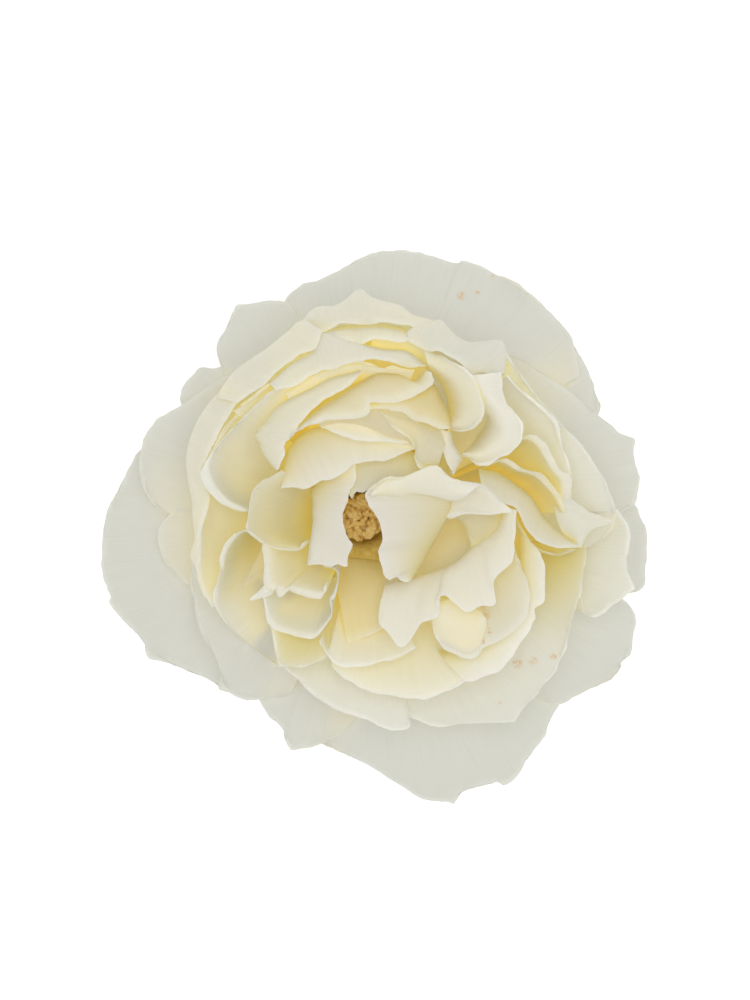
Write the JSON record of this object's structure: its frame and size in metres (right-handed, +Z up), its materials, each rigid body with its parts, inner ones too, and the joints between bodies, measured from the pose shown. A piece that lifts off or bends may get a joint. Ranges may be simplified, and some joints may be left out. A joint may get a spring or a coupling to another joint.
{
  "type": "cut rose bloom",
  "caption": "Fully open white garden rose cut below its hip, lying face up, with layered petals, stamens, sepals and a short stub.",
  "frame": {"origin": "middle of the bloom's outline seen from above, on the surface it lies on", "axes": "+Z up out of the face of the bloom, +Y towards the top of the picture, +X towards its right"},
  "size_m": [0.11, 0.1112, 0.0423],
  "materials": {
    "petal": "soft, faintly translucent cream white petal",
    "stamen": "dry brown gold threads and anthers",
    "style": "waxy yellow green",
    "calyx": "matt leaf green"
  },
  "bodies": {
    "root": {"petals": "petal", "stamens": "stamen", "styles": "style", "calyx": "calyx"}
  },
  "joints": []
}
